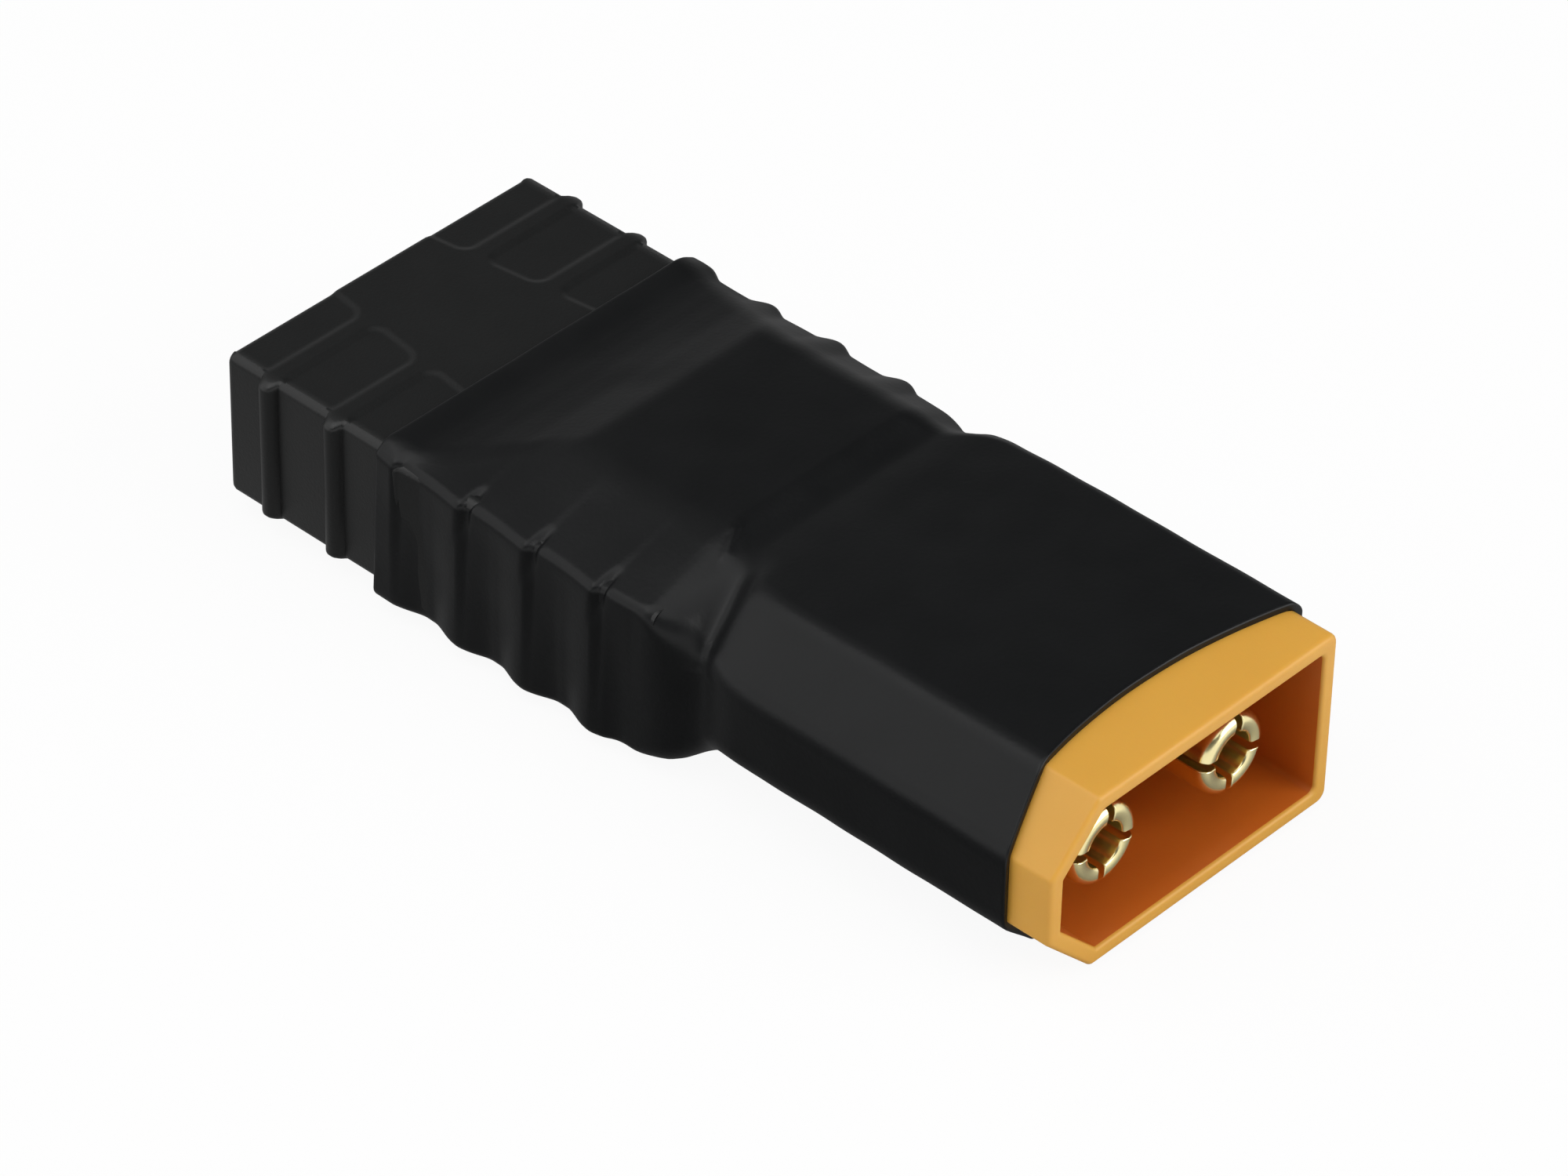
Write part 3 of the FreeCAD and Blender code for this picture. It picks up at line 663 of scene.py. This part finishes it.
def tube_ring(x, wall):
    """The tube's outline at x, moved inwards by wall, with its folds and the unevenness of a shrunk tube."""
    far_radius, near_radius = line_at("far_radius", x), line_at("near_radius", x)
    far = line_at("far_side", x) + round_bulge(x, *FAR_SWELL)
    near = line_at("near_side", x) + saw_bulge(x)
    low = line_at("low_side", x) + round_bulge(x, *LOW_SWELL)
    top, bottom, top_far = line_at("top", x), line_at("bottom", x), line_at("top_far", x)
    corners = [
        (far, line_at("far_level", x), far_radius), (top_far, top, line_at("top_far_radius", x)),
        (-line_at("top_near", x), top, line_at("top_near_radius", x)),
        (-near, line_at("near_level", x), near_radius), (-low, line_at("low_level", x), near_radius),
        (-line_at("low_near", x), bottom, BOTTOM_RADIUS), (top_far, bottom, BOTTOM_RADIUS),
        (far, line_at("low_far", x), far_radius),
    ]
    outline = rounded_outline(corners, 6, (12, 60, 40, 24, 10, 14, 6, 10))
    ring = []
    for k, point in enumerate(outline):
        outward = outline[k - 1] - outline[(k + 1) % len(outline)]
        outward = Vector((-outward.y, outward.x)).normalized()
        if outward.dot(point) < 0:
            outward.negate()
        drift = UNEVENNESS["drift"] * noise.noise(Vector((x, point.x, point.y)) * UNEVENNESS["scale"])
        depth = wall + fold_depth(x, point.x, point.y) + UNEVENNESS["depth"] - drift
        y, z = point - outward * depth
        ring.append((min(max(y, -SIDE_LIMIT), SIDE_LIMIT), min(max(z, -LEVEL_LIMIT), LEVEL_LIMIT)))
    return ring


def bowed(x, ring, share):
    """The ring as points at x, bent by a share of the bow of the plug's rim."""
    return [(x + RIM_BOW * share * (y / PLUG_SIDE) ** 2, y, z) for y, z in ring]


def bow_share(x):
    """How much of the rim's bow the tube has at x."""
    return min(max((x - BOW_START) / (RIM_MIDDLE - BOW_START), 0.0), 1.0)


# Shrunk polyolefin: satin black with a very fine orange-peel about 0.2 mm across, which blurs the lamps in
# it, and slow clouds of gloss, 3 mm across, from uneven heat.
polyolefin, polyolefin_place = start_material("polyolefin_tube_heat_shrunk_black")
peel = add_node(
    polyolefin, "ShaderNodeTexNoise", {}, {"Vector": polyolefin_place, "Scale": 5.0, "Detail": 3.0}
)
heat_cloud = add_node(
    polyolefin, "ShaderNodeTexNoise", {}, {"Vector": polyolefin_place, "Scale": 0.3, "Detail": 4.0}
)
polyolefin_colour = add_node(
    polyolefin, "ShaderNodeMix", {"data_type": "RGBA"},
    {"Factor": heat_cloud.outputs["Fac"], "A": linear("#0c0d0e"), "B": linear("#111213")},
)
polyolefin_gloss = add_node(
    polyolefin, "ShaderNodeMapRange", {}, {"Value": heat_cloud.outputs["Fac"], "To Min": 0.3, "To Max": 0.38}
)
polyolefin_bump = add_node(
    polyolefin, "ShaderNodeBump", {}, {"Height": peel.outputs["Fac"], "Strength": 0.2, "Distance": 0.00003}
)
polyolefin_shader = add_node(
    polyolefin, "ShaderNodeBsdfPrincipled", {},
    {
        "Base Color": polyolefin_colour.outputs["Result"], "Roughness": polyolefin_gloss.outputs["Result"],
        "IOR": 1.5, "Specular IOR Level": 0.25, "Normal": polyolefin_bump.outputs["Normal"],
    },
)
add_node(polyolefin, "ShaderNodeOutputMaterial", {}, {"Surface": polyolefin_shader.outputs[0]})

sleeve_points, sleeve_faces, sleeve_rings = [], [], []
for ahead, wall in ((0.0, 0.1), (0.01, 0.05), (0.04, 0.02)):
    sleeve_rings.append(bowed(SLEEVE_START + ahead, tube_ring(SLEEVE_START, wall), 0.0))
for x in spread(SLEEVE_START + 0.1, RIM_MIDDLE - 0.08, 0.09):
    sleeve_rings.append(bowed(x, tube_ring(x, 0.0), bow_share(x)))
for ahead, wall in ((-0.04, 0.02), (-0.01, 0.05), (0.0, 0.1), (0.0, SLEEVE_WALL)):
    sleeve_rings.append(bowed(RIM_MIDDLE + ahead, tube_ring(RIM_MIDDLE, wall), 1.0))
for x in reversed(spread(SLEEVE_START + 0.4, RIM_MIDDLE - 0.4, 0.9)):
    sleeve_rings.append(bowed(x, tube_ring(x, DRAWN_WALL), bow_share(x)))
sleeve_rings.append(bowed(SLEEVE_START, tube_ring(SLEEVE_START, SLEEVE_WALL), 0.0))
join_rings(sleeve_points, sleeve_faces, sleeve_rings + sleeve_rings[:1])
sleeve_look = make_piece("heat_shrink_sleeve_shrunk", sleeve_points, sleeve_faces, polyolefin, 60)
# Points that the rounding laid on each other become one.
weld = sleeve_look.modifiers.new("weld", "WELD")
weld.merge_threshold = 0.0005 * MM
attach(sleeve_look, "root")
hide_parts("heat_shrink_sleeve")

# Studio: a shallow dish of white paper that keeps the object's faint shadow and shows in its gloss, soft
# lamps above and on the near left, and the camera high over the plug's near corner with a long lens.
DISH_FLAT, DISH_RISE, DISH_SIDES = 1.2, 0.5, 48
# Matt white paper: pale where the lamps light it, and plain white where the camera or a clear material sees
# it. What gloss sees of it is dimmer, as in the photo, where the blacks mirror a dim room. Its strength falls
# from 0.34 by the socket to 0.15 under the sleeve, and rises to 1 beyond the plug's mouth, so that the pins
# mirror white. Up the dish's wall it comes back to 0.35.
white_paper, paper_place = start_material("white_paper_matt")
paper_fibre = add_node(
    white_paper, "ShaderNodeTexNoise", {}, {"Vector": paper_place, "Scale": 0.05, "Detail": 3.0}
)
paper_tone = add_node(
    white_paper, "ShaderNodeMix", {"data_type": "RGBA"},
    {"Factor": paper_fibre.outputs["Fac"], "A": linear("#f4f4f4"), "B": linear("#f0f0f0")},
)
paper = add_node(white_paper, "ShaderNodeBsdfDiffuse", {}, {"Color": paper_tone.outputs["Result"]})
ray = add_node(white_paper, "ShaderNodeLightPath", {}, {})
paper_split = add_node(white_paper, "ShaderNodeSeparateXYZ", {}, {"Vector": paper_place})
wall_white = add_node(
    white_paper, "ShaderNodeMapRange", {},
    {"Value": paper_split.outputs["Z"], "From Min": 0.0, "From Max": 120.0, "To Min": 0.0, "To Max": 0.35},
)
left_white = add_node(
    white_paper, "ShaderNodeMapRange", {},
    {"Value": paper_split.outputs["X"], "From Min": -22.0, "From Max": 4.0, "To Min": 0.34, "To Max": 0.15},
)
right_white = add_node(
    white_paper, "ShaderNodeMapRange", {},
    {"Value": paper_split.outputs["X"], "From Min": 20.0, "From Max": 30.0, "To Min": 0.0, "To Max": 1.0},
)
floor_white = add_node(
    white_paper, "ShaderNodeMath", {"operation": "MAXIMUM"},
    {0: left_white.outputs["Result"], 1: right_white.outputs["Result"]},
)
mirrored = add_node(
    white_paper, "ShaderNodeMath", {"operation": "MAXIMUM"},
    {0: floor_white.outputs["Value"], 1: wall_white.outputs["Result"]},
)
seen_straight = add_node(
    white_paper, "ShaderNodeMath", {"operation": "MAXIMUM"},
    {0: ray.outputs["Is Camera Ray"], 1: ray.outputs["Is Transmission Ray"]},
)
whiteness = add_node(
    white_paper, "ShaderNodeMath", {"operation": "MAXIMUM"},
    {0: seen_straight.outputs["Value"], 1: mirrored.outputs["Value"]},
)
white = add_node(
    white_paper, "ShaderNodeEmission", {}, {"Color": (1, 1, 1, 1), "Strength": whiteness.outputs["Value"]}
)
straight_share = add_node(
    white_paper, "ShaderNodeMath", {"operation": "MULTIPLY"}, {0: seen_straight.outputs["Value"], 1: 0.93}
)
seen = add_node(
    white_paper, "ShaderNodeMath", {"operation": "MAXIMUM"},
    {0: straight_share.outputs["Value"], 1: ray.outputs["Is Glossy Ray"]},
)
paper_shader = add_node(
    white_paper, "ShaderNodeMixShader", {},
    {0: seen.outputs["Value"], 1: paper.outputs[0], 2: white.outputs[0]},
)
add_node(white_paper, "ShaderNodeOutputMaterial", {}, {"Surface": paper_shader.outputs[0]})

dish_points, dish_faces = [(0, 0, 0)], []
dish_profile = [(0.4, 0.0), (0.8, 0.0), (DISH_FLAT, 0.0)]
for k in range(1, 9):
    turn = math.pi / 2 * k / 8
    dish_profile.append((DISH_FLAT + DISH_RISE * math.sin(turn), DISH_RISE * (1 - math.cos(turn))))
for k in range(DISH_SIDES):
    turn = math.tau * k / DISH_SIDES
    for reach, level in dish_profile:
        dish_points.append((reach * math.cos(turn), reach * math.sin(turn), level))
for k in range(DISH_SIDES):
    here, there = 1 + k * len(dish_profile), 1 + (k + 1) % DISH_SIDES * len(dish_profile)
    dish_faces.append((0, here, there))
    for j in range(len(dish_profile) - 1):
        dish_faces.append((here + j, here + j + 1, there + j + 1, there + j))
dish_mesh = bpy.data.meshes.new("paper_dish")
dish_mesh.from_pydata(dish_points, [], dish_faces)
dish_mesh.shade_smooth()
dish_mesh.materials.append(white_paper)
paper_dish = bpy.data.objects.new("paper_dish", dish_mesh)
bpy.context.scene.collection.objects.link(paper_dish)

# The air over the dish: a faint glow low down that fades to a dim ceiling, for soft edges in the blacks.
world = bpy.data.worlds.new("studio_air")
bpy.context.scene.world = world
world.use_nodes = True
world.node_tree.nodes.clear()
sky_way = add_node(world, "ShaderNodeTexCoord", {}, {})
sky_split = add_node(world, "ShaderNodeSeparateXYZ", {}, {"Vector": sky_way.outputs["Generated"]})
sky_light = add_node(
    world, "ShaderNodeMapRange", {},
    {"Value": sky_split.outputs["Z"], "From Min": 0.42, "From Max": 0.68, "To Min": 0.22, "To Max": 0.02},
)
sky = add_node(
    world, "ShaderNodeBackground", {}, {"Color": (1, 1, 1, 1), "Strength": sky_light.outputs["Result"]}
)
add_node(world, "ShaderNodeOutputWorld", {}, {"Surface": sky.outputs[0]})


def add_softbox(name, direction, distance, size, power):
    """A square lamp that hangs in a direction from the object and faces it."""
    lamp = bpy.data.lights.new(name, "AREA")
    lamp.shape = "SQUARE"
    lamp.size = size
    lamp.energy = power
    box = bpy.data.objects.new(name, lamp)
    away = Vector(direction).normalized()
    box.location = away * distance
    box.rotation_mode = "QUATERNION"
    box.rotation_quaternion = away.to_track_quat("Z", "Y")
    bpy.context.scene.collection.objects.link(box)


# The key lights the near side, the top one the broad faces, the left one draws a gleam on the climb to the
# block, and the last one lights the plug's mouth and pins.
add_softbox("key_softbox", (-0.50, -0.65, 0.57), 0.7, 1.0, 2.7)
add_softbox("top_softbox", (0.15, -0.2, 0.97), 0.7, 0.8, 2.6)
add_softbox("left_softbox", (-0.42, -0.08, 0.9), 0.7, 1.0, 0.9)
add_softbox("mouth_softbox", (0.9, 0.4, 0.5), 0.7, 0.5, 2.8)

# The camera, solved on the photo from the plug's size.
CAMERA_PLACE = Vector((158.05, -173.02, 191.55)) * MM
CAMERA_RIGHT = Vector((0.72970, 0.68353, 0.01805)).normalized()
CAMERA_UP = Vector((-0.4388, 0.4478, 0.7791)).normalized()
camera_back = CAMERA_RIGHT.cross(CAMERA_UP).normalized()
camera_turn = Matrix((CAMERA_RIGHT, camera_back.cross(CAMERA_RIGHT), camera_back)).transposed()
camera_data = bpy.data.cameras.new("camera")
camera_data.lens = 179.91
camera_data.sensor_width = 36
camera_data.clip_start = 0.01
camera_data.clip_end = 20
camera = bpy.data.objects.new("camera", camera_data)
bpy.context.scene.collection.objects.link(camera)
camera.matrix_world = Matrix.Translation(CAMERA_PLACE) @ camera_turn.to_4x4()
bpy.context.scene.camera = camera
bpy.context.scene.view_settings.view_transform = "Standard"
